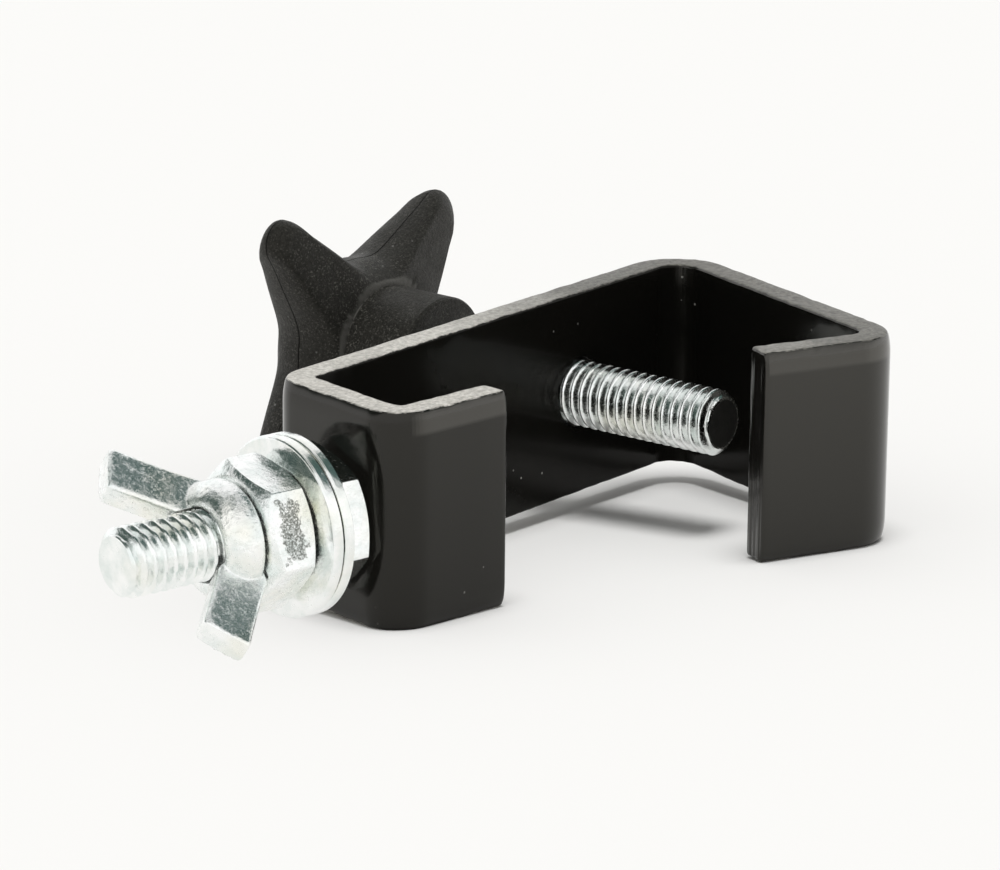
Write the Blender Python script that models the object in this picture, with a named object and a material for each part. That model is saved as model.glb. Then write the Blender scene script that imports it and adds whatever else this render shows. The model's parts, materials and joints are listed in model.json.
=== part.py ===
"""Lighting hook clamp: a bent steel strip that hooks over a pipe, a knob-driven clamp stud
that presses the pipe into the hook, and a fixing bolt with nuts and washers for the lamp.

Frame: metres, +Z up. The clamp lies on the edge of its strip, so +Z runs across the strip.
+X runs along the back plate towards the hook and +Y points out through it to the knob.
The origin is on the strip's lower edge, midway through the flange's thickness, straight
below the axis of the fixing bolt.
"""

import math

import bmesh
import bpy
from mathutils import Matrix, Vector

MM = 0.001
GAP = 0.3 * MM

# The bent strip. Headings are the directions of its legs, walking from the back plate.
STRIP_WIDTH = 30.0 * MM
STRIP_THICKNESS = 4.5 * MM
BACK_LENGTH = 93.0 * MM
FLANGE_LENGTH = 26.5 * MM
FLANGE_HEADING = -102.5
LEFT_LIP_LENGTH = 20.5 * MM
LEFT_LIP_HEADING = -8.0
ROOF_LENGTH = 58.0 * MM
ROOF_HEADING = -110.3
RIGHT_LIP_LENGTH = 23.4 * MM
RIGHT_LIP_HEADING = -205.3
BEND_RADIUS_FLANGE_LIP = 5.8 * MM
BEND_RADIUS_BACK_FLANGE = 5.5 * MM
BEND_RADIUS_BACK_ROOF = 8.0 * MM
BEND_RADIUS_ROOF_LIP = 7.0 * MM
BEND_STEPS = 10
EDGE_BEVEL = 0.5 * MM

# The thread is 3/8 inch, 16 turns to the inch, on both the bolt and the stud.
THREAD_RADIUS = 9.5 / 2 * MM
THREAD_HOLE_RADIUS = THREAD_RADIUS + GAP
ROUND_STEPS = 40

# The fixing bolt and what it carries. Stations are distances out from the flange's face.
BOLT_ALONG_FLANGE = 13.2 * MM
BOLT_BELOW_MIDDLE = 1.2 * MM
BOLT_END = 34.9 * MM
BOLT_HEAD_ACROSS_FLATS = 14.3 * MM
BOLT_HEAD_HEIGHT = 6.3 * MM
NUT_ACROSS_FLATS = 18.0 * MM
JAM_NUT_HEIGHT = 5.0 * MM
FIXING_NUT_HEIGHT = 7.1 * MM
NUT_CHAMFER = 30.0
NUT_FACE_SHARE = 0.95
ROD_END_CHAMFER = 1.2 * MM
ROD_END_DROP = 0.9 * MM
JAM_NUT_TURN = 43.0
FIXING_NUT_TURN = 46.0
WASHER_RADIUS = 12.2 * MM
WASHER_HOLE_RADIUS = 5.6 * MM
WASHER_THICKNESS = 1.5 * MM

# The wing nut. Its wings lean forward out of the hub, in one plane with the bolt's axis. It is
# a rough casting: one wing leans further out than the other.
HUB_BASE_RADIUS = 8.2 * MM
HUB_TOP_RADIUS = 7.0 * MM
HUB_HEIGHT = 4.8 * MM
WING_PLANE_ANGLE = 141.0
UPPER_WING_LEAN = 53.0
LOWER_WING_LEAN = 42.0
WING_LENGTH = 13.4 * MM
WING_WIDTH = 7.0 * MM
WING_THICKNESS = 3.8 * MM
WING_ROOT_RADIUS = 5.2 * MM
WING_ROOT_HEIGHT = 1.6 * MM
WING_FOOT_DROP = 1.2 * MM
WING_FOOT_DEPTH = 1.5 * MM
WING_ROUND_STEPS = 5

# The clamp stud and its knob. Stations are distances out from the back plate's outer face.
STUD_ALONG_BACK = 62.8 * MM
STUD_TIP = -29.7 * MM
STUD_TOP = 35.0 * MM
KNOB_MIDDLE = 37.4 * MM
KNOB_BOSS_START = 20.5 * MM
KNOB_BOSS_RADIUS = 9.8 * MM
KNOB_VALLEY_RADIUS = 13.0 * MM
KNOB_TIP_RADIUS = 28.4 * MM
KNOB_LOBE_RADIUS = 3.4 * MM
KNOB_FLANK_POWER = 3.4
KNOB_HALF_AT_ROOT = 6.2 * MM
KNOB_HALF_AT_TIP = 2.0 * MM
KNOB_ROUND_AT_TIP = 3.2 * MM
KNOB_ROUND_AT_VALLEY = 2.8 * MM
KNOB_LOBES = 4
KNOB_TURN = 48.0
KNOB_STEPS = 96


def material(name, colour, roughness, metallic):
    made = bpy.data.materials.new(name)
    made.use_nodes = True
    shader = made.node_tree.nodes["Principled BSDF"]
    shader.inputs["Base Color"].default_value = (*colour, 1.0)
    shader.inputs["Roughness"].default_value = roughness
    shader.inputs["Metallic"].default_value = metallic
    return made


def clear_scene():
    for found in list(bpy.data.objects):
        bpy.data.objects.remove(found)


def heading(degrees):
    angle = math.radians(degrees)
    return Vector((math.cos(angle), math.sin(angle)))


def add_object(name, mesh, finish=None):
    made = bpy.data.objects.new(name, mesh)
    bpy.context.scene.collection.objects.link(made)
    if finish:
        mesh.materials.append(finish)
    return made


def finish_mesh(name, work):
    """Turns a bmesh into a mesh with outward faces, shaded smooth up to 35 degrees."""
    bmesh.ops.recalc_face_normals(work, faces=work.faces)
    mesh = bpy.data.meshes.new(name)
    work.to_mesh(mesh)
    work.free()
    mesh.shade_smooth()
    mesh.set_sharp_from_angle(angle=math.radians(35))
    return mesh


def turned(name, profile, steps=ROUND_STEPS):
    """Turns a closed profile of (radius, height) points about Z. Radius 0 ends on the axis."""
    work = bmesh.new()
    rings = []
    for radius, height in profile:
        if radius == 0:
            rings.append([work.verts.new((0, 0, height))])
            continue
        ring = []
        for step in range(steps):
            angle = 2 * math.pi * step / steps
            ring.append(work.verts.new((radius * math.cos(angle), radius * math.sin(angle), height)))
        rings.append(ring)
    for here, after in zip(rings, rings[1:] + rings[:1]):
        if len(here) == 1 and len(after) == 1:
            continue
        for step in range(steps):
            beyond = (step + 1) % steps
            if len(here) == 1:
                corners = [here[0], after[step], after[beyond]]
            elif len(after) == 1:
                corners = [here[step], after[0], here[beyond]]
            else:
                corners = [here[step], after[step], after[beyond], here[beyond]]
            work.faces.new(corners)
    return finish_mesh(name, work)


def prism(name, outline, low, high):
    """Extrudes a flat outline along Z from low to high."""
    work = bmesh.new()
    face = work.faces.new([work.verts.new((x, y, low)) for x, y in outline])
    grown = bmesh.ops.extrude_face_region(work, geom=[face])["geom"]
    raised = [item for item in grown if isinstance(item, bmesh.types.BMVert)]
    bmesh.ops.translate(work, verts=raised, vec=(0, 0, high - low))
    return finish_mesh(name, work)


def boolean(piece, cutter, operation):
    """Adds, cuts or trims a piece with a helper, and hides the helper."""
    cutter.hide_render = True
    cutter.display_type = "WIRE"
    cut = piece.modifiers.new(cutter.name, "BOOLEAN")
    cut.operation = operation
    cut.solver = "EXACT"
    cut.object = cutter


def round_cutter(name, radius, low, high):
    return add_object(name, turned(name, [(0, low), (radius, low), (radius, high), (0, high)]))


def frame_along(origin, direction):
    """A matrix whose +Z runs along a level direction and whose +Y stays vertical."""
    forward = Vector(direction).normalized()
    upward = Vector((0, 0, 1))
    sideways = upward.cross(forward)
    turn = Matrix((sideways, upward, forward)).transposed().to_4x4()
    return Matrix.Translation(Vector(origin)) @ turn


# The bent strip.


def strip_corners():
    """The outer corners of the strip, from the tip of the left lip to that of the right lip."""
    back_flange = Vector((0, 0))
    back_roof = Vector((BACK_LENGTH, 0))
    flange_lip = back_flange + FLANGE_LENGTH * heading(FLANGE_HEADING)
    left_tip = flange_lip + LEFT_LIP_LENGTH * heading(LEFT_LIP_HEADING)
    roof_lip = back_roof + ROOF_LENGTH * heading(ROOF_HEADING)
    right_tip = roof_lip + RIGHT_LIP_LENGTH * heading(RIGHT_LIP_HEADING)
    return [left_tip, flange_lip, back_flange, back_roof, roof_lip, right_tip]


def inner_corners(corners):
    """The same corners, one strip thickness further in."""
    legs = []
    for here, after in zip(corners, corners[1:]):
        along = (after - here).normalized()
        inward = Vector((along.y, -along.x)) * STRIP_THICKNESS
        legs.append((here + inward, after + inward, along))
    moved = [legs[0][0]]
    for (start, _, along), (beyond, _, after) in zip(legs, legs[1:]):
        reach = (beyond - start).cross(after) / along.cross(after)
        moved.append(start + along * reach)
    moved.append(legs[-1][1])
    return moved


def rounded(corners, radii):
    """The path through the corners, with an arc of each given radius at each inner corner."""
    path = [corners[0]]
    for before, corner, after, radius in zip(corners, corners[1:], corners[2:], radii):
        back = (before - corner).normalized()
        ahead = (after - corner).normalized()
        half = back.angle(ahead) / 2
        centre = corner + (back + ahead).normalized() * radius / math.sin(half)
        start = corner + back * radius / math.tan(half) - centre
        turn = start.angle_signed(corner + ahead * radius / math.tan(half) - centre)
        for step in range(BEND_STEPS + 1):
            spin = Matrix.Rotation(-turn * step / BEND_STEPS, 2)
            path.append(centre + spin @ start)
    path.append(corners[-1])
    return path


def build_bracket(finish):
    outer = strip_corners()
    radii = [
        BEND_RADIUS_FLANGE_LIP,
        BEND_RADIUS_BACK_FLANGE,
        BEND_RADIUS_BACK_ROOF,
        BEND_RADIUS_ROOF_LIP,
    ]
    outline = rounded(outer, radii)
    inside = rounded(inner_corners(outer), [radius - STRIP_THICKNESS for radius in radii])
    outline += reversed(inside)
    bracket = add_object("hook_bracket", prism("hook_bracket", outline, 0, STRIP_WIDTH), finish)
    bevel = bracket.modifiers.new("rounded_edges", "BEVEL")
    bevel.width = EDGE_BEVEL
    bevel.segments = 2
    bevel.limit_method = "ANGLE"
    bevel.angle_limit = math.radians(50)
    return bracket


def cut_bracket(bracket, bolt_frame, stud_frame):
    """Drills the flange for the fixing bolt and the back plate for the clamp stud."""
    reach = 2 * STRIP_THICKNESS
    for name, place in (("bolt_hole", bolt_frame), ("stud_hole", stud_frame)):
        drill = round_cutter(name, THREAD_HOLE_RADIUS, -reach, reach / 4)
        drill.matrix_world = place
        boolean(bracket, drill, "DIFFERENCE")


# The fasteners. Each is modelled standing on Z = 0 and placed on its axis afterwards.


def hexagon(across_flats, turn):
    corner = across_flats / math.sqrt(3)
    angles = [math.radians(turn + 60 * step) for step in range(6)]
    return [(corner * math.cos(angle), corner * math.sin(angle)) for angle in angles]


def chamfered_hexagon(name, across_flats, height, turn, finish):
    """A hexagonal block whose corners are turned off at a shallow angle."""
    block = add_object(name, prism(name, hexagon(across_flats, turn), 0, height), finish)
    flat = across_flats / 2 * NUT_FACE_SHARE
    wide = across_flats / math.sqrt(3) + GAP
    drop = (wide - flat) * math.tan(math.radians(NUT_CHAMFER))
    envelope = [
        (0, 0),
        (flat, 0),
        (wide, drop),
        (wide, height - drop),
        (flat, height),
        (0, height),
    ]
    barrel = add_object(name + "_chamfer", turned(name + "_chamfer", envelope))
    boolean(block, barrel, "INTERSECT")
    return block, barrel


def build_nut(name, height, turn, place, finish):
    nut, barrel = chamfered_hexagon(name, NUT_ACROSS_FLATS, height, turn, finish)
    bore = round_cutter(name + "_bore", THREAD_HOLE_RADIUS, -GAP, height + GAP)
    boolean(nut, bore, "DIFFERENCE")
    for piece in (nut, barrel, bore):
        piece.matrix_world = place
    return nut


def build_washer(name, place, finish):
    corner = WASHER_THICKNESS / 6
    profile = [
        (WASHER_HOLE_RADIUS, 0),
        (WASHER_RADIUS - corner, 0),
        (WASHER_RADIUS, corner),
        (WASHER_RADIUS, WASHER_THICKNESS - corner),
        (WASHER_RADIUS - corner, WASHER_THICKNESS),
        (WASHER_HOLE_RADIUS, WASHER_THICKNESS),
    ]
    washer = add_object(name, turned(name, profile, 56), finish)
    washer.matrix_world = place
    return washer


def rod_profile(low, high):
    """A threaded rod's outline, with a small chamfer at each end."""
    neck = THREAD_RADIUS - ROD_END_DROP
    return [
        (0, low),
        (neck, low),
        (THREAD_RADIUS, low + ROD_END_CHAMFER),
        (THREAD_RADIUS, high - ROD_END_CHAMFER),
        (neck, high),
        (0, high),
    ]


def build_bolt(place, finish):
    """The bolt's head lies in the channel behind the flange, where the lip stops it turning."""
    seat = -STRIP_THICKNESS - GAP
    foot = seat - BOLT_HEAD_HEIGHT
    bolt, barrel = chamfered_hexagon(
        "fixing_bolt", BOLT_HEAD_ACROSS_FLATS, BOLT_HEAD_HEIGHT, 30, finish
    )
    shank_profile = rod_profile(BOLT_HEAD_HEIGHT / 4, BOLT_END - foot)
    shank = add_object("bolt_shank", turned("bolt_shank", shank_profile))
    boolean(bolt, shank, "UNION")
    for piece in (bolt, barrel, shank):
        piece.matrix_world = place @ Matrix.Translation((0, 0, foot))
    return bolt


def wing_outline(lean_degrees):
    """One wing seen along its thin side: out from the axis in X, forward in Y."""
    lean = math.radians(lean_degrees)
    along = Vector((math.cos(lean), math.sin(lean)))
    across = Vector((math.sin(lean), -math.cos(lean)))
    root = Vector((WING_ROOT_RADIUS, WING_ROOT_HEIGHT))
    tip = root + along * WING_LENGTH
    half = WING_WIDTH / 2
    foot_height = WING_ROOT_HEIGHT - WING_FOOT_DROP
    outline = [
        Vector((WING_ROOT_RADIUS - WING_FOOT_DEPTH, foot_height)),
        Vector((HUB_BASE_RADIUS, foot_height)),
    ]
    reach = half / 2
    turning_point = tip + across * (half - reach) - along * reach
    for step in range(WING_ROUND_STEPS + 1):
        angle = math.radians(90 * step / WING_ROUND_STEPS)
        spoke = across * math.cos(angle) + along * math.sin(angle)
        outline.append(turning_point + spoke * reach)
    outline.append(tip - across * half * 0.8)
    outline.append(tip - across * half - along * half * 0.4)
    outline.append(root - across * half * 0.9 + along * half * 0.6)
    return outline


def build_wing_nut(place, finish):
    crown = 1.0 * MM
    hub_profile = [
        (0, 0),
        (HUB_BASE_RADIUS - crown / 2, 0),
        (HUB_BASE_RADIUS, crown / 2),
        (HUB_TOP_RADIUS, HUB_HEIGHT - crown),
        (HUB_TOP_RADIUS - crown, HUB_HEIGHT),
        (0, HUB_HEIGHT),
    ]
    nut = add_object("wing_nut", turned("wing_nut", hub_profile), finish)
    nut.matrix_world = place
    wings = (
        ("upper_wing", WING_PLANE_ANGLE, UPPER_WING_LEAN),
        ("lower_wing", WING_PLANE_ANGLE + 180, LOWER_WING_LEAN),
    )
    for name, angle, lean in wings:
        blade = prism(name, wing_outline(lean), -WING_THICKNESS / 2, WING_THICKNESS / 2)
        upright = Matrix.Rotation(math.radians(90), 4, "X")
        blade.transform(Matrix.Rotation(math.radians(angle), 4, "Z") @ upright)
        wing = add_object(name, blade)
        wing.matrix_world = place
        boolean(nut, wing, "UNION")
    bore = round_cutter("wing_nut_bore", THREAD_HOLE_RADIUS, -GAP, HUB_HEIGHT + WING_LENGTH)
    bore.matrix_world = place
    boolean(nut, bore, "DIFFERENCE")
    return nut


# The clamp stud and its knob, both on an axis through the back plate.


def build_stud(place, finish):
    stud = add_object("clamp_stud", turned("clamp_stud", rod_profile(STUD_TIP, STUD_TOP)), finish)
    stud.matrix_world = place
    return stud


def knob_reach(angle):
    """The knob's outline in polar form: round lobes joined by smooth valleys."""
    pitch = 2 * math.pi / KNOB_LOBES
    away = abs((angle + pitch / 2) % pitch - pitch / 2)
    centre = KNOB_TIP_RADIUS - KNOB_LOBE_RADIUS
    edge = math.asin(KNOB_LOBE_RADIUS / centre)
    if away < edge:
        across = centre * math.sin(away)
        return centre * math.cos(away) + math.sqrt(KNOB_LOBE_RADIUS**2 - across**2)
    flank = (away - edge) / (pitch / 2 - edge)
    fall = (1 - flank) ** KNOB_FLANK_POWER
    return KNOB_VALLEY_RADIUS + (centre * math.cos(edge) - KNOB_VALLEY_RADIUS) * fall


def knob_half_thickness(radius):
    """Full over the boss, then thinning evenly towards the tips of the lobes."""
    share = (radius - KNOB_BOSS_RADIUS) / (KNOB_TIP_RADIUS - KNOB_BOSS_RADIUS)
    return KNOB_HALF_AT_ROOT + (KNOB_HALF_AT_TIP - KNOB_HALF_AT_ROOT) * max(0.0, share)


def knob_layer(work, tilt, shrink):
    """One ring of the star. Tilt runs round the edge; shrink draws a face in to its middle."""
    ring = []
    for step in range(KNOB_STEPS):
        angle = 2 * math.pi * step / KNOB_STEPS
        reach = knob_reach(angle)
        share = (reach - KNOB_VALLEY_RADIUS) / (KNOB_TIP_RADIUS - KNOB_VALLEY_RADIUS)
        edge = KNOB_ROUND_AT_VALLEY + (KNOB_ROUND_AT_TIP - KNOB_ROUND_AT_VALLEY) * share
        radius = (reach - edge * (1 - math.cos(tilt))) * shrink
        height = KNOB_MIDDLE + knob_half_thickness(radius) * math.sin(tilt)
        ring.append(work.verts.new((radius * math.cos(angle), radius * math.sin(angle), height)))
    return ring


def build_knob(place, finish):
    work = bmesh.new()
    rings = [knob_layer(work, math.radians(-90), shrink) for shrink in (0.3, 0.65)]
    rings += [knob_layer(work, math.radians(tilt), 1) for tilt in (-90, -60, -30, 0, 30, 60, 90)]
    rings += [knob_layer(work, math.radians(90), shrink) for shrink in (0.65, 0.3)]
    for here, after in zip(rings, rings[1:]):
        for step in range(KNOB_STEPS):
            beyond = (step + 1) % KNOB_STEPS
            work.faces.new([here[step], here[beyond], after[beyond], after[step]])
    work.faces.new(rings[0])
    work.faces.new(rings[-1])
    star = finish_mesh("knob", work)
    star.transform(Matrix.Rotation(math.radians(KNOB_TURN), 4, "Z"))
    knob = add_object("knob", star, finish)
    boss_profile = [
        (0, KNOB_BOSS_START),
        (KNOB_BOSS_RADIUS - GAP, KNOB_BOSS_START),
        (KNOB_BOSS_RADIUS, KNOB_BOSS_START + GAP),
        (KNOB_BOSS_RADIUS, KNOB_MIDDLE),
        (0, KNOB_MIDDLE),
    ]
    boss = add_object("knob_boss", turned("knob_boss", boss_profile))
    bore = round_cutter("knob_bore", THREAD_HOLE_RADIUS, KNOB_BOSS_START - GAP, STUD_TOP + GAP)
    boolean(knob, boss, "UNION")
    boolean(knob, bore, "DIFFERENCE")
    for piece in (knob, boss, bore):
        piece.matrix_world = place
    return knob


def main():
    clear_scene()
    black_powder_coat = material("black_powder_coat", (0.02, 0.02, 0.021), 0.28, 0.0)
    bright_zinc = material("bright_zinc", (0.72, 0.74, 0.74), 0.25, 1.0)
    black_plastic = material("black_plastic", (0.025, 0.025, 0.025), 0.6, 0.0)

    # The corner of back plate and flange, seen from the origin below the bolt.
    flange_run = heading(FLANGE_HEADING)
    outward = Vector((flange_run.y, -flange_run.x))
    flange_foot = flange_run * BOLT_ALONG_FLANGE
    to_origin = -(flange_foot - outward * STRIP_THICKNESS / 2)
    shift = Matrix.Translation((to_origin.x, to_origin.y, 0))
    middle = STRIP_WIDTH / 2

    bolt_height = middle - BOLT_BELOW_MIDDLE
    bolt_frame = shift @ frame_along((*flange_foot, bolt_height), (*outward, 0))
    stud_frame = shift @ frame_along((STUD_ALONG_BACK, 0, middle), (0, 1, 0))

    bracket = build_bracket(black_powder_coat)
    bracket.matrix_world = shift
    cut_bracket(bracket, bolt_frame, stud_frame)

    build_bolt(bolt_frame, bright_zinc)
    place = bolt_frame @ Matrix.Translation((0, 0, GAP))
    build_nut("jam_nut", JAM_NUT_HEIGHT, JAM_NUT_TURN, place, bright_zinc)
    place = place @ Matrix.Translation((0, 0, JAM_NUT_HEIGHT + GAP))
    build_washer("inner_washer", place, bright_zinc)
    place = place @ Matrix.Translation((0, 0, WASHER_THICKNESS + GAP))
    build_washer("outer_washer", place, bright_zinc)
    place = place @ Matrix.Translation((0, 0, WASHER_THICKNESS + GAP))
    build_nut("fixing_nut", FIXING_NUT_HEIGHT, FIXING_NUT_TURN, place, bright_zinc)
    place = place @ Matrix.Translation((0, 0, FIXING_NUT_HEIGHT + GAP))
    build_wing_nut(place, bright_zinc)

    build_stud(stud_frame, bright_zinc)
    build_knob(stud_frame, black_plastic)
    bpy.context.view_layer.update()


main()
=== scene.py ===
"""Looks for the lighting hook clamp: its finished meshes, materials, light, floor and camera.

Everything is in metres, in the CAD's frame: +Z across the strip, +X along the back plate
towards the hook, +Y out through the back plate towards the knob.
"""

import json
import math
import random

import bmesh
import bpy
from mathutils import Matrix, Vector, noise


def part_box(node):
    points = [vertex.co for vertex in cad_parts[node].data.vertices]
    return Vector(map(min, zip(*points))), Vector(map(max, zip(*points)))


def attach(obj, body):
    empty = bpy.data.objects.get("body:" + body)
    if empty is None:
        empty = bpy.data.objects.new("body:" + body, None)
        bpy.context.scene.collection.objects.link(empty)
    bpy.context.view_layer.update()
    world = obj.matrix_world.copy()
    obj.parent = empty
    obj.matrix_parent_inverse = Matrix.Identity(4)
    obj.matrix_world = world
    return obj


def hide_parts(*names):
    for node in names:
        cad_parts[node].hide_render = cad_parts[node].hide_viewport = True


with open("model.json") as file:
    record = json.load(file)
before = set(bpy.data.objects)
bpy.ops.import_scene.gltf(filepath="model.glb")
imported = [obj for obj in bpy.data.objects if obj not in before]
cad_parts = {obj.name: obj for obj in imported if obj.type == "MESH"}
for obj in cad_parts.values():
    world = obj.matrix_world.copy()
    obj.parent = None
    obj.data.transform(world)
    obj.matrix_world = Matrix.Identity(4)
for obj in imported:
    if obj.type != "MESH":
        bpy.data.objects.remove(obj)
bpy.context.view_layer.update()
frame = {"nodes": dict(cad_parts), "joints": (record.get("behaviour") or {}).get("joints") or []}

MM = 0.001
UP = Vector((0, 0, 1))
JOINTS = {joint["name"]: joint for joint in frame["joints"]}

# The strip, with the CAD's own legs and bends.
STRIP_THICKNESS = 4.5 * MM
BACK_LENGTH = 93.0 * MM
FLANGE_LENGTH = 26.5 * MM
FLANGE_HEADING = -102.5
LEFT_LIP_LENGTH = 20.5 * MM
LEFT_LIP_HEADING = -8.0
ROOF_LENGTH = 58.0 * MM
ROOF_HEADING = -110.3
RIGHT_LIP_LENGTH = 23.4 * MM
RIGHT_LIP_HEADING = -205.3
BEND_RADII = (5.8 * MM, 5.5 * MM, 8.0 * MM, 7.0 * MM)
BEND_STEPS = 18
LEG_STEP = 1.1 * MM

# The ripple on its sheared edges: a fixed seed, so that every run gives the same one, how far
# in from the edge it reaches, and its two scales, each with its depth.
RIPPLE_SEED = 7
RIPPLE_REACH = 1.2 * MM
RIPPLE_SCALES = ((700, 0.10 * MM), (190, 0.12 * MM))

# The thread: 3/8 inch, 16 turns to the inch. The rods' ends are turned down to its root.
PITCH = 25.4 / 16 * MM
THREAD_CREST = 4.74 * MM
THREAD_DEPTH = 1.02 * MM
THREAD_SIDES = 72
THREAD_SLICES = 12
ROD_END_RADIUS = THREAD_CREST - THREAD_DEPTH * 1.05
ROD_END_SLOPE = 1.15

# The holes: through the strip, in the nuts, the washers and the wing nut.
STRIP_HOLE_RADIUS = 4.95 * MM
NUT_BORE_RADIUS = 4.78 * MM
WASHER_BORE_RADIUS = 5.55 * MM
WING_NUT_BORE_RADIUS = 5.0 * MM

# The fixing bolt's head, which stands off the strip's inner face, and where the rod starts in it.
HEAD_ACROSS_FLATS = 14.3 * MM
HEAD_GAP = 0.3 * MM
ROD_START_IN_HEAD = 1.5 * MM

# The wing nut: the turn of its wings' plane, and each wing's root, lean and length.
WING_TURN = math.radians(141)
UPPER_WING = (1.2 * MM, 51.5, 14.4 * MM)
LOWER_WING = (0.6 * MM, 42.0, 13.6 * MM)

# The knob. Its stations are heights above the end of its boss.
KNOB_MIDDLE = 16.9 * MM
KNOB_ROOT_LINE = 10.9 * MM
KNOB_TIP = 28.4 * MM
KNOB_VALLEY = 13.0 * MM
KNOB_LOBE = 3.4 * MM
KNOB_BOSS = 9.8 * MM
KNOB_FLANK_POWER = 3.4
KNOB_TURN = math.radians(48)

# The knob's lobes: half their thickness over the boss, how much it falls and over what radius,
# how far their rims are rounded in the valleys and how much further at the tips, and the seam.
KNOB_HALF_THICKNESS = 6.2 * MM
KNOB_THINNING = 4.2 * MM
KNOB_THINNING_RUN = 19.0 * MM
KNOB_RIM = 2.8 * MM
KNOB_RIM_GROWTH = 0.4 * MM
KNOB_SEAM_DEPTH = 0.16 * MM


# Small tools.


def axis_frame(joint, flip=False):
    """A matrix on a joint's axis: +Z along it, +Y upright."""
    forward = Vector(joint["axis"]) * (-1 if flip else 1)
    forward.normalize()
    sideways = UP.cross(forward)
    turn = Matrix((sideways, UP, forward)).transposed().to_4x4()
    return Matrix.Translation(Vector(joint["pos_m"])) @ turn


def spots_along(node, place):
    """A CAD node's vertices, seen from an axis frame."""
    back = place.inverted()
    return [back @ vertex.co for vertex in frame["nodes"][node].data.vertices]


def span(node, place):
    """Where a CAD node starts and ends along an axis frame."""
    heights = [spot.z for spot in spots_along(node, place)]
    return min(heights), max(heights)


def add_piece(name, mesh, body, nodes, surface):
    """Puts a finished mesh in the scene in place of some CAD nodes."""
    piece = bpy.data.objects.new(name, mesh)
    bpy.context.scene.collection.objects.link(piece)
    mesh.materials.append(surface)
    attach(piece, body)
    if nodes:
        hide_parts(*nodes)
    return piece


def mesh_from(name, work, smooth_angle=35):
    bmesh.ops.recalc_face_normals(work, faces=work.faces)
    mesh = bpy.data.meshes.new(name)
    work.to_mesh(mesh)
    work.free()
    mesh.shade_smooth()
    mesh.set_sharp_from_angle(angle=math.radians(smooth_angle))
    return mesh


def stack_rings(name, rings, closed=False, smooth_angle=35):
    """Joins rings of equal length into a tube; the ends are capped unless the tube closes."""
    work = bmesh.new()
    grid = [[work.verts.new(spot) for spot in ring] for ring in rings]
    pairs = list(zip(grid, grid[1:]))
    if closed:
        pairs.append((grid[-1], grid[0]))
    for here, after in pairs:
        count = len(here)
        for step in range(count):
            beyond = (step + 1) % count
            work.faces.new([here[step], here[beyond], after[beyond], after[step]])
    if not closed:
        work.faces.new(grid[0])
        work.faces.new(grid[-1])
    return mesh_from(name, work, smooth_angle)


def polar(radius, angle, height):
    return Vector((radius * math.cos(angle), radius * math.sin(angle), height))


def even_angles(count):
    return [2 * math.pi * step / count for step in range(count)]


def join_meshes(name, meshes):
    work = bmesh.new()
    for mesh in meshes:
        work.from_mesh(mesh)
    return mesh_from(name, work)


def apply_modifiers(piece):
    """Replaces an object's mesh by the mesh its modifiers make."""
    graph = bpy.context.evaluated_depsgraph_get()
    done = bpy.data.meshes.new_from_object(piece.evaluated_get(graph))
    piece.modifiers.clear()
    piece.data = done
    return piece


# Materials.


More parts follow.
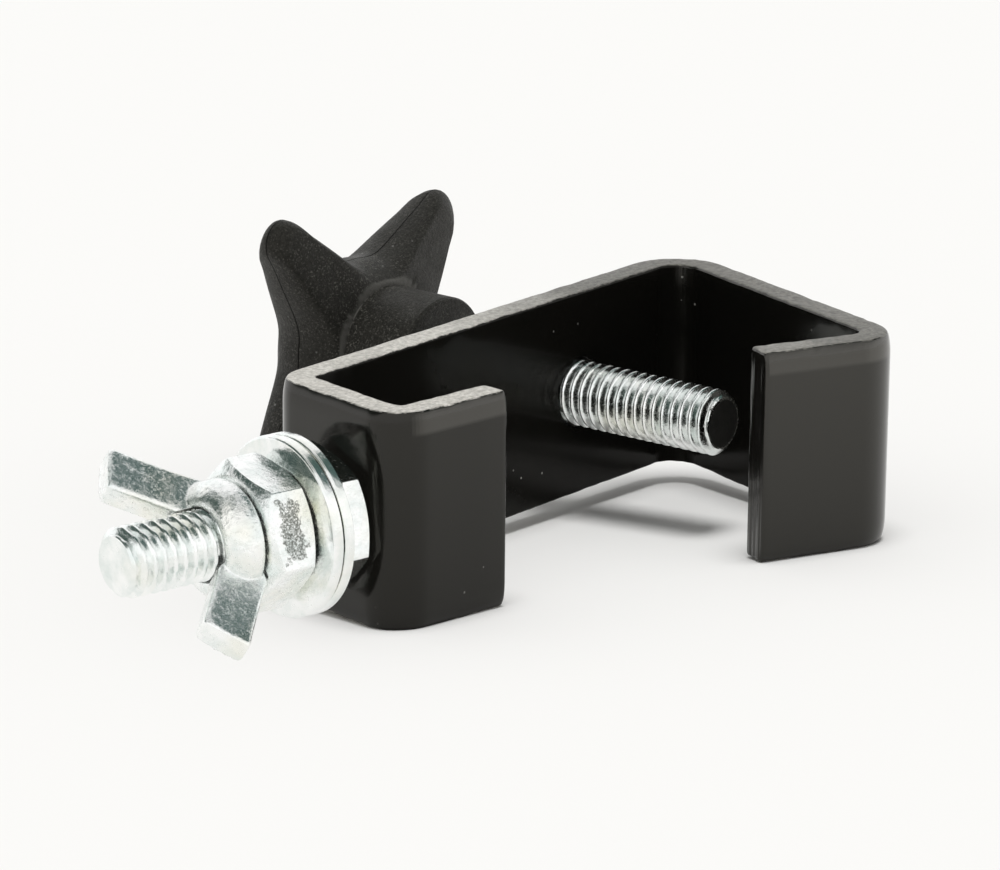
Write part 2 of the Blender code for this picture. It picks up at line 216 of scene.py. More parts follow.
class Nodes:
    """Shorthand for building one material's node tree."""

    def __init__(self, name):
        self.material = bpy.data.materials.new(name)
        self.material.use_nodes = True
        self.tree = self.material.node_tree
        self.shader = self.tree.nodes["Principled BSDF"]
        self.place = self.add("ShaderNodeTexCoord").outputs["Object"]

    def add(self, kind, **values):
        made = self.tree.nodes.new(kind)
        for key, value in values.items():
            setattr(made, key, value)
        return made

    def feed(self, socket, value):
        if isinstance(value, bpy.types.NodeSocket):
            self.tree.links.new(value, socket)
        else:
            socket.default_value = value

    def noise(self, scale, detail=3.0, roughness=0.55, place=None):
        made = self.add("ShaderNodeTexNoise")
        self.feed(made.inputs["Vector"], place or self.place)
        made.inputs["Scale"].default_value = scale
        made.inputs["Detail"].default_value = detail
        made.inputs["Roughness"].default_value = roughness
        return made.outputs["Fac"]

    def along(self, direction, start):
        """How far the shaded point lies from a start point, measured along a direction."""
        made = self.add("ShaderNodeVectorMath", operation="DOT_PRODUCT")
        self.feed(made.inputs[0], self.place)
        made.inputs[1].default_value = direction
        return self.math("SUBTRACT", made.outputs["Value"], direction.dot(start))

    def specks(self, scale, size):
        """Small round specks scattered one to a cell."""
        made = self.add("ShaderNodeTexVoronoi")
        self.feed(made.inputs["Vector"], self.place)
        made.inputs["Scale"].default_value = scale
        return self.remap(made.outputs["Distance"], size * 0.5, size, 1, 0)

    def remap(self, value, low, high, to_low=0.0, to_high=1.0):
        made = self.add("ShaderNodeMapRange")
        self.feed(made.inputs["Value"], value)
        for key, number in zip(("From Min", "From Max", "To Min", "To Max"), (low, high, to_low, to_high)):
            made.inputs[key].default_value = number
        return made.outputs["Result"]

    def math(self, operation, first, second=0.0):
        made = self.add("ShaderNodeMath", operation=operation)
        self.feed(made.inputs[0], first)
        self.feed(made.inputs[1], second)
        return made.outputs[0]

    def mix(self, share, first, second):
        made = self.add("ShaderNodeMix", data_type="RGBA")
        self.feed(made.inputs["Factor"], share)
        for socket, colour in ((made.inputs[6], first), (made.inputs[7], second)):
            self.feed(socket, colour if isinstance(colour, bpy.types.NodeSocket) else (*colour, 1.0))
        return made.outputs[2]

    def bump(self, height, depth, strength=1.0, under=None):
        made = self.add("ShaderNodeBump")
        self.feed(made.inputs["Height"], height)
        made.inputs["Distance"].default_value = depth
        made.inputs["Strength"].default_value = strength
        if under:
            self.feed(made.inputs["Normal"], under)
        return made.outputs["Normal"]

    def normal_part(self, axis):
        geometry = self.add("ShaderNodeNewGeometry")
        split = self.add("ShaderNodeSeparateXYZ")
        self.feed(split.inputs[0], geometry.outputs["True Normal"])
        return split.outputs[axis]

    def finish(self, **inputs):
        for key, value in inputs.items():
            if isinstance(value, tuple):
                value = (*value, 1.0)
            self.feed(self.shader.inputs[key.replace("_", " ")], value)
        return self.material


def black_coat():
    """Gloss black powder coat. Its sheared edges carry a rough grey band, partly their own rough finish
    and partly painted reflection of the white room.
    """
    n = Nodes("black_powder_coat")
    spot = n.add("ShaderNodeSeparateXYZ")
    n.feed(spot.inputs[0], n.place)
    level = n.math("ABSOLUTE", n.normal_part("Z"))
    ragged = n.math("ADD", level, n.remap(n.noise(520, 4.0, 0.7), 0.3, 0.7, -0.22, 0.16))
    edge = n.remap(ragged, 0.60, 0.80)
    # Painted highlight: the sheen is raised in a band just under the lips' top edge.
    lips = n.remap(spot.outputs["Y"], 0.0, -4.0 * MM)
    near_top = n.math("MULTIPLY", n.remap(spot.outputs["Z"], 26.6 * MM, 27.2 * MM), lips)
    near_top = n.math("MULTIPLY", near_top, n.remap(n.normal_part("Y"), -0.8, -0.95))
    # Painted shade: the sheen is turned down on the back plate's inner wall and in the hook's inner
    # corner, and it grows along X from the left end.
    inner_wall = n.remap(n.normal_part("Y"), -0.3, -0.6)
    inner_wall = n.math("MULTIPLY", n.remap(spot.outputs["Y"], 4.0 * MM, 7.0 * MM), inner_wall)
    gleam = n.remap(inner_wall, 0.0, 1.0, 1.0, 0.18)
    deep = n.remap(spot.outputs["X"], 76 * MM, 80 * MM)
    deep = n.math("MULTIPLY", n.remap(n.normal_part("X"), -0.05, -0.30), deep)
    deep = n.math("MULTIPLY", deep, n.remap(spot.outputs["Z"], 28.5 * MM, 26.5 * MM))
    gleam = n.math("MULTIPLY", gleam, n.remap(deep, 0.0, 1.0, 1.0, 0.15))
    gleam = n.math("MULTIPLY", gleam, n.remap(spot.outputs["X"], 10 * MM, 50 * MM, 0.72, 1.18))
    dust = n.math("MULTIPLY", n.specks(320, 0.07), n.remap(n.noise(60), 0.5, 0.62))
    # The edge band's grey is partly the sheared edge's own rough finish and partly painted reflection of
    # the white room.
    worn = n.remap(n.noise(1300, 5.0, 0.7), 0.38, 0.66)
    # The edge band is made lighter towards the left end and darker towards the hook, with random patches.
    lighter_leftwards = n.remap(spot.outputs["X"], 0.030, 0.066, 1.0, 0.0)
    lighter_leftwards = n.math("ADD", lighter_leftwards, n.remap(n.noise(150, 3.0), 0.35, 0.7, -0.18, 0.12))
    light_edge_tone = n.mix(worn, (0.34, 0.328, 0.295), (0.68, 0.66, 0.61))
    dark_edge_tone = n.mix(worn, (0.05, 0.048, 0.042), (0.17, 0.165, 0.145))
    edge_colour = n.mix(n.remap(lighter_leftwards, 0.0, 1.0), dark_edge_tone, light_edge_tone)
    colour = n.mix(edge, (0.0065, 0.0062, 0.0052), edge_colour)
    colour = n.mix(dust, colour, (0.32, 0.32, 0.30))
    orange_peel = n.noise(420, 2.0)
    rough_edge = n.noise(900, 6.0, 0.7)
    height = n.math("ADD", n.math("MULTIPLY", orange_peel, 0.05), n.math("MULTIPLY", rough_edge, edge))
    sheared = n.remap(spot.outputs["X"], 64 * MM, 62 * MM)
    sheared = n.math("MULTIPLY", n.remap(n.normal_part("X"), -0.80, -0.88), sheared)
    sheared = n.math("MULTIPLY", sheared, n.remap(spot.outputs["Y"], -20 * MM, -24 * MM))
    drawn = n.add("ShaderNodeMapping")
    n.feed(drawn.inputs["Vector"], n.place)
    drawn.inputs["Scale"].default_value = (1, 1, 0.03)
    streaks = n.noise(620, 2.0, 0.5, drawn.outputs["Vector"])
    height = n.math("ADD", height, n.math("MULTIPLY", n.math("MULTIPLY", streaks, 3.0), sheared))
    roughness = n.remap(edge, 0, 1, 0.15, 0.5)
    roughness = n.math("ADD", roughness, n.remap(n.noise(55), 0.3, 0.7, -0.02, 0.05))
    return n.finish(
        Base_Color=colour,
        Roughness=roughness,
        # Painted light: the sheen also grows from the strip's lower edge towards its upper edge.
        Specular_IOR_Level=n.math(
            "ADD",
            n.math("MULTIPLY", n.remap(spot.outputs["Z"], 0.0, 0.03, 0.30, 0.50), gleam),
            n.math("MULTIPLY", near_top, 0.5),
        ),
        Normal=n.bump(height, 0.16 * MM),
        Specular_Tint=(1.0, 0.965, 0.88),
        Coat_Weight=n.math("MULTIPLY", n.remap(edge, 0, 1, 0.15, 0.05), gleam),
        Coat_Roughness=0.06,
    )


def bright_zinc(name, mottle, tint=0.5, crease_shade=0.3, facet=None):
    """Bright zinc plating: near-white metal, cloudy with blue-green and straw, with painted shade in its
    creases.

    A facet, given by its middle and two directions along it, can be left torn and grainy.
    """
    n = Nodes(name)
    cloud = n.remap(n.noise(300, 5.0, 0.65), 0.40, 0.66)
    straw = n.math("MULTIPLY", n.remap(n.noise(140, 2.0), 0.5, 0.7), tint)
    colour = n.mix(cloud, (0.96, 0.97, 0.96), (0.78, 0.83, 0.81))
    colour = n.mix(straw, colour, (0.90, 0.885, 0.80))
    # Painted shade: darker in the creases, where the pointiness is low.
    crease = n.add("ShaderNodeNewGeometry").outputs["Pointiness"]
    colour = n.mix(n.remap(crease, 0.40, 0.485, crease_shade, 0.0), colour, (0.10, 0.10, 0.085))
    pits = n.noise(1900, 4.0, 0.66)
    fine = n.noise(5200, 2.0)
    height = n.math("ADD", n.math("MULTIPLY", pits, mottle), n.math("MULTIPLY", fine, 0.10))
    height = n.math("ADD", height, n.math("MULTIPLY", n.noise(420, 2.0), 2.6 * mottle))
    roughness = n.remap(n.noise(800, 4.0), 0.3, 0.7, 0.06, 0.18)
    matt = n.remap(n.noise(1500, 5.0, 0.8), 0.52, 0.62)
    roughness = n.math("ADD", roughness, n.math("MULTIPLY", matt, 0.42 * mottle))
    if facet:
        middle, outward, onward, around = facet
        torn = n.remap(n.along(outward, middle), -0.3 * MM, -0.1 * MM)
        for direction, half in ((onward, 1.5 * MM), (around, 3.6 * MM)):
            away = n.math("ABSOLUTE", n.along(direction, middle))
            away = n.math("ADD", away, n.remap(n.noise(700, 3.0), 0.3, 0.7, -0.8 * MM, 0.8 * MM))
            torn = n.math("MULTIPLY", torn, n.remap(away, half, half + 0.3 * MM, 1.0, 0.0))
        grit = n.remap(n.noise(3600, 4.0, 0.75), 0.42, 0.60)
        colour = n.mix(n.math("MULTIPLY", torn, grit), colour, (0.16, 0.17, 0.15))
        height = n.math("ADD", height, n.math("MULTIPLY", torn, grit))
    return n.finish(
        Base_Color=colour,
        Metallic=1.0,
        Roughness=roughness,
        Normal=n.bump(height, 0.08 * MM),
    )


def cut_steel_end():
    """The sawn, unplated end of the stud: dark and dull."""
    n = Nodes("cut_steel_end")
    colour = n.mix(n.noise(900, 4.0), (0.012, 0.012, 0.011), (0.035, 0.034, 0.03))
    return n.finish(
        Base_Color=colour,
        Metallic=0.3,
        Roughness=0.6,
        Normal=n.bump(n.noise(1600, 3.0), 0.06 * MM),
    )


def grained_plastic(seam_y, root_y):
    """Matt black plastic with a spark-eroded grain, a moulding seam and a pale line at the boss."""
    n = Nodes("black_plastic")
    spot = n.add("ShaderNodeSeparateXYZ")
    n.feed(spot.inputs[0], n.place)
    grain = n.noise(1700, 4.0, 0.8)
    patchy = n.remap(n.noise(120, 3.0), 0.35, 0.65, 0.25, 1.0)
    fleck = n.math("MULTIPLY", n.remap(n.noise(3000, 2.0, 0.7), 0.56, 0.66), patchy)
    dust = n.math("MULTIPLY", n.specks(420, 0.1), n.remap(n.noise(90), 0.52, 0.62))
    colour = n.mix(n.remap(grain, 0.42, 0.66), (0.008, 0.0078, 0.0065), (0.024, 0.0232, 0.020))
    colour = n.mix(fleck, colour, (0.10, 0.097, 0.086))
    colour = n.mix(dust, colour, (0.2, 0.2, 0.19))
    for level, colour_there in ((seam_y, (0.001, 0.001, 0.001)), (root_y, (0.09, 0.088, 0.08))):
        away = n.math("ABSOLUTE", n.math("SUBTRACT", spot.outputs["Y"], level))
        near = n.remap(away, 0.06 * MM, 0.20 * MM, 1.0, 0.0)
        colour = n.mix(near, colour, colour_there)
    return n.finish(
        Base_Color=colour,
        Roughness=n.remap(n.noise(300), 0.3, 0.7, 0.44, 0.58),
        Specular_IOR_Level=0.26,
        Specular_Tint=(1.0, 0.96, 0.87),
        Normal=n.bump(grain, 0.2 * MM),
    )


# The bent strip.


def heading(degrees):
    angle = math.radians(degrees)
    return Vector((math.cos(angle), math.sin(angle)))


def strip_corners(foot):
    """The strip's outer corners, from the left lip's tip to the right lip's."""
    back_roof = foot + Vector((BACK_LENGTH, 0))
    flange_lip = foot + FLANGE_LENGTH * heading(FLANGE_HEADING)
    left_tip = flange_lip + LEFT_LIP_LENGTH * heading(LEFT_LIP_HEADING)
    roof_lip = back_roof + ROOF_LENGTH * heading(ROOF_HEADING)
    right_tip = roof_lip + RIGHT_LIP_LENGTH * heading(RIGHT_LIP_HEADING)
    return [left_tip, flange_lip, foot, back_roof, roof_lip, right_tip]


def strip_path(corners):
    """Stations along the strip's outer face, each with the direction that points inwards."""
    stations = []
    start = corners[0]
    for before, corner, after, radius in zip(corners, corners[1:], corners[2:], BEND_RADII):
        back = (before - corner).normalized()
        ahead = (after - corner).normalized()
        half = back.angle(ahead) / 2
        centre = corner + (back + ahead).normalized() * radius / math.sin(half)
        reach = radius / math.tan(half)
        leg_end = corner + back * reach
        stations += straight(start, leg_end)
        first = leg_end - centre
        last = corner + ahead * reach - centre
        turn = -first.angle_signed(last)
        for step in range(1, BEND_STEPS):
            spoke = Matrix.Rotation(turn * step / BEND_STEPS, 2) @ first
            stations.append((centre + spoke, -spoke.normalized()))
        start = centre + last
    return stations + straight(start, corners[-1])


def rounded_end(path, way):
    """Extra stations at the strip's sawn end, whose sections shrink to round its rim."""
    tip, inward = path[0]
    along = Vector((-inward.y, inward.x)) * way
    roll = 0.5 * MM
    stations = []
    for step in range(5):
        angle = math.radians(90 * step / 4)
        stations.append((tip + along * roll * (1 - math.cos(angle)), inward, roll * (1 - math.sin(angle))))
    return stations


def straight(start, end):
    along = (end - start).normalized()
    inward = Vector((along.y, -along.x))
    count = max(2, round((end - start).length / LEG_STEP))
    return [(start.lerp(end, step / count), inward) for step in range(count + 1)]


def section(width):
    """The strip's cross-section: (inwards, upwards) points round a rectangle with rolled edges.

    Shearing drags the outer face over: it curves in for its last few millimetres.
    """
    rolls = [
        (0, 0, 0.75 * MM, 3.4 * MM, 180),
        (STRIP_THICKNESS, 0, 0.45 * MM, 0.45 * MM, 270),
        (STRIP_THICKNESS, width, 0.45 * MM, 0.45 * MM, 0),
        (0, width, 0.75 * MM, 3.4 * MM, 90),
    ]
    points = []
    for x, y, deep, tall, first in rolls:
        centre_x = x + (deep if first in (90, 180) else -deep)
        centre_y = y + (tall if first in (180, 270) else -tall)
        for step in range(11):
            angle = math.radians(first + 90 * step / 10)
            points.append((centre_x + deep * math.cos(angle), centre_y + tall * math.sin(angle)))
    return refine(points, 1.3 * MM)


def refine(points, longest):
    """Adds points so that no side of a closed outline is longer than the given length."""
    done = []
    for here, after in zip(points, points[1:] + points[:1]):
        first, last = Vector(here), Vector(after)
        count = max(1, math.ceil((last - first).length / longest))
        done += [tuple(first.lerp(last, step / count)) for step in range(count)]
    return done


def build_bracket(surface):
    low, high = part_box("hook_bracket")
    width = high.z - low.z
    stud = Vector(JOINTS["knob_turn"]["pos_m"])
    back_face = stud.y
    flange = Vector(JOINTS["fixing_nut_turn"]["pos_m"]).xy
    foot_run = heading(FLANGE_HEADING)
    foot = flange - foot_run * (flange.y - back_face) / foot_run.y
    path = strip_path(strip_corners(foot))
    between = [(spot, inward, 0.0) for spot, inward in path[1:-1]]
    stations = rounded_end(path, 1) + between + rounded_end(path[::-1], -1)[::-1]
    outline = section(width)
    middle = Vector((STRIP_THICKNESS / 2, width / 2))
    rings = []
    for spot, inward, cut_back in stations:
        ring = []
        for inwards, upwards in outline:
            inwards -= (inwards - middle.x) * cut_back / middle.x
            upwards -= (upwards - middle.y) * cut_back / middle.y
            flat = spot + inward * inwards
            ring.append(Vector((flat.x, flat.y, low.z + upwards)))
        rings.append(ring)
    mesh = stack_rings("clamp_strip", rings, smooth_angle=50)
    roughen_edges(mesh, low.z, high.z)
    strip = add_piece("clamp_strip", mesh, "bracket", ["hook_bracket"], surface)
    for joint, flip in (("fixing_nut_turn", False), ("knob_turn", True)):
        drill_hole(strip, axis_frame(JOINTS[joint], flip))
    return apply_modifiers(strip)


def roughen_edges(mesh, low, high):
    """Ripples the sheared edges by up to a fifth of a millimetre and leaves the faces flat."""
    noise.seed_set(RIPPLE_SEED)
    for vertex in mesh.vertices:
        from_edge = min(vertex.co.z - low, high - vertex.co.z)
        share = max(0.0, 1 - from_edge / RIPPLE_REACH)
        ripple = Vector((0, 0, 0))
        for scale, depth in RIPPLE_SCALES:
            ripple += noise.noise_vector(vertex.co * scale) * depth
        ripple.z = -abs(ripple.z) if vertex.co.z > (low + high) / 2 else abs(ripple.z)
        vertex.co += ripple * share


def drill_hole(strip, place):
    reach = (-9 * MM, 3 * MM)
    rings = [[polar(STRIP_HOLE_RADIUS, angle, height) for angle in even_angles(48)] for height in reach]
    drill = bpy.data.objects.new("drill", stack_rings("drill", rings))
    bpy.context.scene.collection.objects.link(drill)
    drill.matrix_world = place
    cut = strip.modifiers.new("hole", "BOOLEAN")
    cut.operation = "DIFFERENCE"
    cut.solver = "EXACT"
    cut.object = drill
    apply_modifiers(strip)
    bpy.data.objects.remove(drill)


# Threads, nuts and washers.


def thread_radius(height, angle):
    """The radius of a right-hand thread with rounded crests and roots."""
    phase = (height / PITCH - angle / (2 * math.pi)) % 1.0
    wave = abs(2 * phase - 1)
    flank = min(1.0, max(0.0, (wave - 0.13) / 0.70))
    return THREAD_CREST - THREAD_DEPTH * (1 - flank * flank * (3 - 2 * flank) * 0.45 - flank * 0.55)


def threaded_rod(name, low, high):
    """A closed rod with a real helical thread, chamfered where it ends."""
    angles = even_angles(THREAD_SIDES)
    count = round((high - low) / PITCH * THREAD_SLICES)
    inner = ROD_END_RADIUS * 0.93
    rings = [[polar(inner, a, low) for a in angles]]
    for step in range(count + 1):
        height = low + (high - low) * step / count
        limit = ROD_END_RADIUS + min(height - low, high - height) * ROD_END_SLOPE
        rings.append([polar(min(limit, thread_radius(height, a)), a, height) for a in angles])
    rings.append([polar(inner, a, high) for a in angles])
    return stack_rings(name, rings, smooth_angle=60)


def hexagon_radius(angle, across_flats, softness=110):
    """A hexagon's radius in polar form, with softly rounded corners."""
    total = sum(max(0.0, math.cos(angle - math.radians(60 * side))) ** softness for side in range(6))
    return across_flats / 2 / total ** (1 / softness)


def hexagon_angles(per_side=22):
    """Angles round a hexagon, closest together near its corners."""
    angles = []
    for side in range(6):
        for step in range(per_side):
            swing = math.sin(math.pi / 2 * (2 * step / per_side - 1))
            angles.append(math.radians(60 * side + 30 * swing))
    return angles


def hex_block(name, across_flats, low, high, bore=0.0, flat_share=0.93):
    """A hexagonal nut, or a solid head when it has no bore, its corners turned off at 30 degrees."""
    angles = hexagon_angles()
    radii = [hexagon_radius(angle, across_flats) for angle in angles]
    flat = across_flats / 2 * flat_share
    slope = math.tan(math.radians(30))
    sink = 0.55 * MM
    soft = 0.12 * MM

    def outline(height, sign, inset=0.0):
        return [
            polar(radius - inset, angle, height + sign * (radius - flat) * slope)
            for radius, angle in zip(radii, angles)
        ]

    def circle(radius, height):
        return [polar(radius, angle, height) for angle in angles]

    rings = [circle(flat - soft, low), circle(flat + soft, low + soft * slope), outline(low + soft, 1)]
    rings += [outline(high - soft, -1), outline(high, -1, soft)]
    rings += [circle(flat + soft, high - soft * slope), circle(flat - soft, high)]
    if bore:
        rings = [circle(bore, low + sink), circle(bore + sink, low)] + rings
        rings += [circle(bore + sink, high), circle(bore, high - sink)]
    return stack_rings(name, rings, closed=bool(bore), smooth_angle=24)


def flats_turn(node, place):
    """How far a hexagonal CAD node is turned about its axis, from its furthest vertex."""
    corner = max((spot.xy for spot in spots_along(node, place)), key=lambda spot: spot.length)
    return math.atan2(corner.y, corner.x) - math.radians(30)


def build_nut(piece_name, node, body, place, surface):
    low, high = span(node, place)
    mesh = hex_block(piece_name, across(node, place), low, high, NUT_BORE_RADIUS)
    mesh.transform(Matrix.Rotation(flats_turn(node, place), 4, "Z"))
    mesh.transform(place)
    return add_piece(piece_name, mesh, body, [node], surface)


def across(node, place):
    """A hexagonal node's size across its flats: twice its shortest outline radius."""
    turn = flats_turn(node, place)
    flat = Vector((math.cos(turn), math.sin(turn)))
    return 2 * max(spot.xy.dot(flat) for spot in spots_along(node, place))


def nut_facet(node, place):
    """The middle of a nut's front right flat, with its outward, onward and sideways directions."""
    low, high = span(node, place)
    angle = math.radians((math.degrees(flats_turn(node, place)) + 30) % 60 - 30)
    turn = place.to_3x3()
    middle = place @ polar(across(node, place) / 2, angle, (low + high) / 2 + 0.2 * MM)
    outward = turn @ polar(1, angle, 0)
    return middle, outward, turn @ Vector((0, 0, 1)), turn @ polar(1, angle + math.pi / 2, 0)


def build_washer(piece_name, node, body, place, surface, seed):
    """A stamped washer: rolled over on one side, a faint burr on the other, not quite flat."""
    low, high = span(node, place)
    reach = max(spot.xy.length for spot in spots_along(node, place))
    bore = WASHER_BORE_RADIUS
    roll = 0.45 * MM
    shake = random.Random(seed)
    lean = shake.uniform(0, 2 * math.pi)
    profile = [(bore, low + 0.2 * MM), (bore + 0.2 * MM, low), (reach - 0.1 * MM, low)]
    profile += [(reach, low + 0.1 * MM)]
    for step in range(6):
        angle = math.radians(90 * step / 5)
        profile.append((reach - roll + roll * math.cos(angle), high - roll + roll * math.sin(angle)))
    profile += [(bore + 0.35 * MM, high), (bore, high - 0.35 * MM)]
    rings = []
    for radius, height in profile:
        ring = []
        for angle in even_angles(112):
            wave = 0.03 * MM * math.cos(2 * (angle - lean)) * (radius / reach) ** 2
            ring.append(polar(radius + 0.02 * MM * math.sin(3 * angle + lean), angle, height + wave))
        rings.append(ring)
    mesh = stack_rings(piece_name, rings, closed=True, smooth_angle=40)
    mesh.transform(place)
    return add_piece(piece_name, mesh, body, [node], surface)


def build_bolt(place, surface):
    low, high = span("fixing_bolt", place)
    head = hex_block("head", HEAD_ACROSS_FLATS, low, -STRIP_THICKNESS - HEAD_GAP)
    rod = threaded_rod("rod", low + ROD_START_IN_HEAD, high)
    mesh = join_meshes("bolt_body", [head, rod])
    mesh.transform(place)
    return add_piece("bolt_body", mesh, "bracket", ["fixing_bolt"], surface)


# The cast wing nut.


def wing_blade(turn, low, root_height, lean_degrees, length):
    """One wing as a flat slab with crisp edges: out from the axis and forwards, its tip cut askew."""
    lean = math.radians(lean_degrees)
    along = Vector((math.cos(lean), 0, math.sin(lean)))
    root = Vector((4.4 * MM, 0, low + root_height))
    rings = []
    steps = 24
    for step in range(steps + 1):
        share = step / steps
        cut = lean + math.radians(9) * share
        across_blade = Vector((math.sin(cut), 0, -math.cos(cut)))
        half_width = (3.2 + 0.25 * share ** 2 + 0.4 * (1 - share) ** 3) * MM
        half_thick = (1.9 + 0.5 * (1 - share) ** 3) * MM
        if step == steps:
            half_width -= 0.15 * MM
            half_thick -= 0.15 * MM
        centre = root + along * length * share
        ring = []
        for angle in even_angles(48):
            across_part = math.copysign(abs(math.cos(angle)) ** 0.22, math.cos(angle))
            thick_part = math.copysign(abs(math.sin(angle)) ** 0.22, math.sin(angle))
            bow = along * 0.5 * MM * share * (1 - across_part ** 2)
            spot = centre + across_blade * half_width * across_part + bow
            ring.append(spot + Vector((0, half_thick * thick_part, 0)))
        rings.append(ring)
    blade = stack_rings("blade", rings)
    blade.transform(Matrix.Rotation(turn, 4, "Z"))
    return blade


def build_wing_nut(place, surface):
    low = span("wing_nut", place)[0]
    profile = [
        (5.0, 0.0), (7.6, 0.0), (8.15, 0.5), (8.2, 1.3), (8.0, 2.4), (7.5, 3.4), (6.85, 4.1),
        (6.2, 4.6), (5.6, 4.8), (5.0, 4.8),
    ]
    rings = [[polar(r * MM, a, low + z * MM) for a in even_angles(72)] for r, z in profile]
    hub = stack_rings("hub", rings, closed=True)
    upper = wing_blade(WING_TURN, low, *UPPER_WING)
    lower = wing_blade(WING_TURN + math.pi, low, *LOWER_WING)
    cast = bpy.data.objects.new("wing_nut_cast", join_meshes("wing_nut_cast", [hub, upper, lower]))
    bpy.context.scene.collection.objects.link(cast)
    melt = cast.modifiers.new("melt", "REMESH")
    melt.mode = "VOXEL"
    melt.voxel_size = 0.17 * MM
    ease = cast.modifiers.new("ease", "SMOOTH")
    ease.factor = 0.5
    ease.iterations = 5
    apply_modifiers(cast)
    mesh = cast.data
    bpy.data.objects.remove(cast)
    keep_clear(mesh, WING_NUT_BORE_RADIUS, low)
    mesh.shade_smooth()
    mesh.transform(place)
    return add_piece("wing_nut_cast", mesh, "wing_nut", ["wing_nut"], surface)


def keep_clear(mesh, radius, low):
    """Pushes the casting out of its bore and off the nut it sits on."""
    for vertex in mesh.vertices:
        out = vertex.co.xy.length
        if 1e-6 < out < radius:
            vertex.co.xy *= radius / out
        vertex.co.z = max(vertex.co.z, low)


# The stud and its knob.


def build_stud(place, surface, end_surface):
    mesh = threaded_rod("stud_body", *span("clamp_stud", place))
    mesh.transform(place)
    stud = add_piece("stud_body", mesh, "stud", ["clamp_stud"], surface)
    mesh.materials.append(end_surface)
    outward = -(place.to_3x3() @ Vector((0, 0, 1)))
    for face in mesh.polygons:
        if len(face.vertices) > 8 and face.normal.dot(outward) > 0.9:
            face.material_index = 1
    return stud


def knob_reach(angle):
    """The knob's four-lobed outline in polar form: round tips joined by broad round valleys."""
    centre = KNOB_TIP - KNOB_LOBE
    away = abs((angle + math.pi / 4) % (math.pi / 2) - math.pi / 4)
    edge = math.asin(KNOB_LOBE / centre)
    if away < edge:
        across_lobe = centre * math.sin(away)
        return centre * math.cos(away) + math.sqrt(max(0.0, KNOB_LOBE ** 2 - across_lobe ** 2))
    fall = 1 - (away - edge) / (math.pi / 4 - edge)
    return KNOB_VALLEY + (centre * math.cos(edge) - KNOB_VALLEY) * fall ** KNOB_FLANK_POWER


def knob_half_thickness(radius):
    """Full over the boss and thinning smoothly towards the tips of the lobes."""
    share = min(1.0, max(0.0, (radius - KNOB_BOSS) / KNOB_THINNING_RUN))
    return KNOB_HALF_THICKNESS - KNOB_THINNING * share


def build_knob(place, surface):
    low = span("knob", place)[0]
    middle = low + KNOB_MIDDLE
    rows = [(-90, shrink) for shrink in (0.12, 0.3, 0.5, 0.7, 0.86)]
    rows += [(tilt, 1.0) for tilt in (-90, -78, -66, -54, -42, -30, -18, -8, -1.4)]
    rows += [(tilt, 1.0) for tilt in (0, 1.4, 8, 18, 30, 42, 54, 66, 78, 90)]
    rows += [(90, shrink) for shrink in (0.86, 0.7, 0.5, 0.3, 0.12)]
    rings = []
    for tilt, shrink in rows:
        roll = math.radians(tilt)
        ring = []
        for angle in even_angles(256):
            out = knob_reach(angle)
            rim = KNOB_RIM + KNOB_RIM_GROWTH * (out - KNOB_VALLEY) / (KNOB_TIP - KNOB_VALLEY)
            seam = KNOB_SEAM_DEPTH if tilt == 0 else 0.0
            radius = (out - seam - rim * (1 - math.cos(roll))) * shrink
            height = middle + knob_half_thickness(radius) * math.sin(roll)
            ring.append(polar(radius, angle, height))
        rings.append(ring)
    star = stack_rings("star", rings, smooth_angle=60)
    star.transform(Matrix.Rotation(KNOB_TURN, 4, "Z"))
    boss_profile = [
        (4.9, 0.0), (9.1, 0.0), (9.5, 0.1), (9.75, 0.45), (9.8, 8.0), (9.85, 10.4),
        (9.95, 11.2), (4.9, 11.8),
    ]
    rings = [[polar(r * MM, a, low + z * MM) for a in even_angles(96)] for r, z in boss_profile]
    boss = stack_rings("boss", rings, closed=True, smooth_angle=40)
    mesh = join_meshes("knob_moulding", [star, boss])
    mesh.transform(place)
    return add_piece("knob_moulding", mesh, "knob", ["knob"], surface)


# The floor, light and camera.


def resting_plane():
    """The floor's plane: it touches the strip's two lower corners and the knob's lower left lobe."""
    bracket = frame["nodes"]["hook_bracket"].data
    lower_edge = 0.6 * MM
    strip = [vertex.co for vertex in bracket.vertices if vertex.co.z < lower_edge]
    front = min(strip, key=lambda spot: spot.y).copy()
    left = min(strip, key=lambda spot: spot.x).copy()
    middle = JOINTS["knob_turn"]["pos_m"][0]
    lobe = min(
        (vertex.co for vertex in frame["nodes"]["knob"].data.vertices if vertex.co.x < middle),
        key=lambda spot: spot.z,
    ).copy()
    front.z = left.z = 0.0
    normal = (front - left).cross(lobe - left).normalized()
    if normal.z < 0:
        normal = -normal
    return left, normal


def add_floor():
    spot, normal = resting_plane()
    size = 3.0
    work = bmesh.new()
    bmesh.ops.create_grid(work, x_segments=1, y_segments=1, size=size)
    mesh = mesh_from("floor", work)
    floor = bpy.data.objects.new("floor", mesh)
    bpy.context.scene.collection.objects.link(floor)
    floor.matrix_world = Matrix.Translation(spot) @ normal.to_track_quat("Z", "Y").to_matrix().to_4x4()
    n = Nodes("studio_floor")
    mesh.materials.append(n.finish(Base_Color=(0.86, 0.855, 0.84), Roughness=0.9, Specular_IOR_Level=0.0))


def add_sun():
    """A broad soft light straight overhead. Bright metal doesn't mirror it."""
    lamp = bpy.data.lights.new("overhead", "SUN")
    lamp.energy = 2.0
    lamp.angle = math.radians(24)
    holder = bpy.data.objects.new("overhead", lamp)
    bpy.context.scene.collection.objects.link(holder)
    holder.rotation_euler = (math.radians(4), math.radians(-3), 0)
    holder.visible_glossy = False


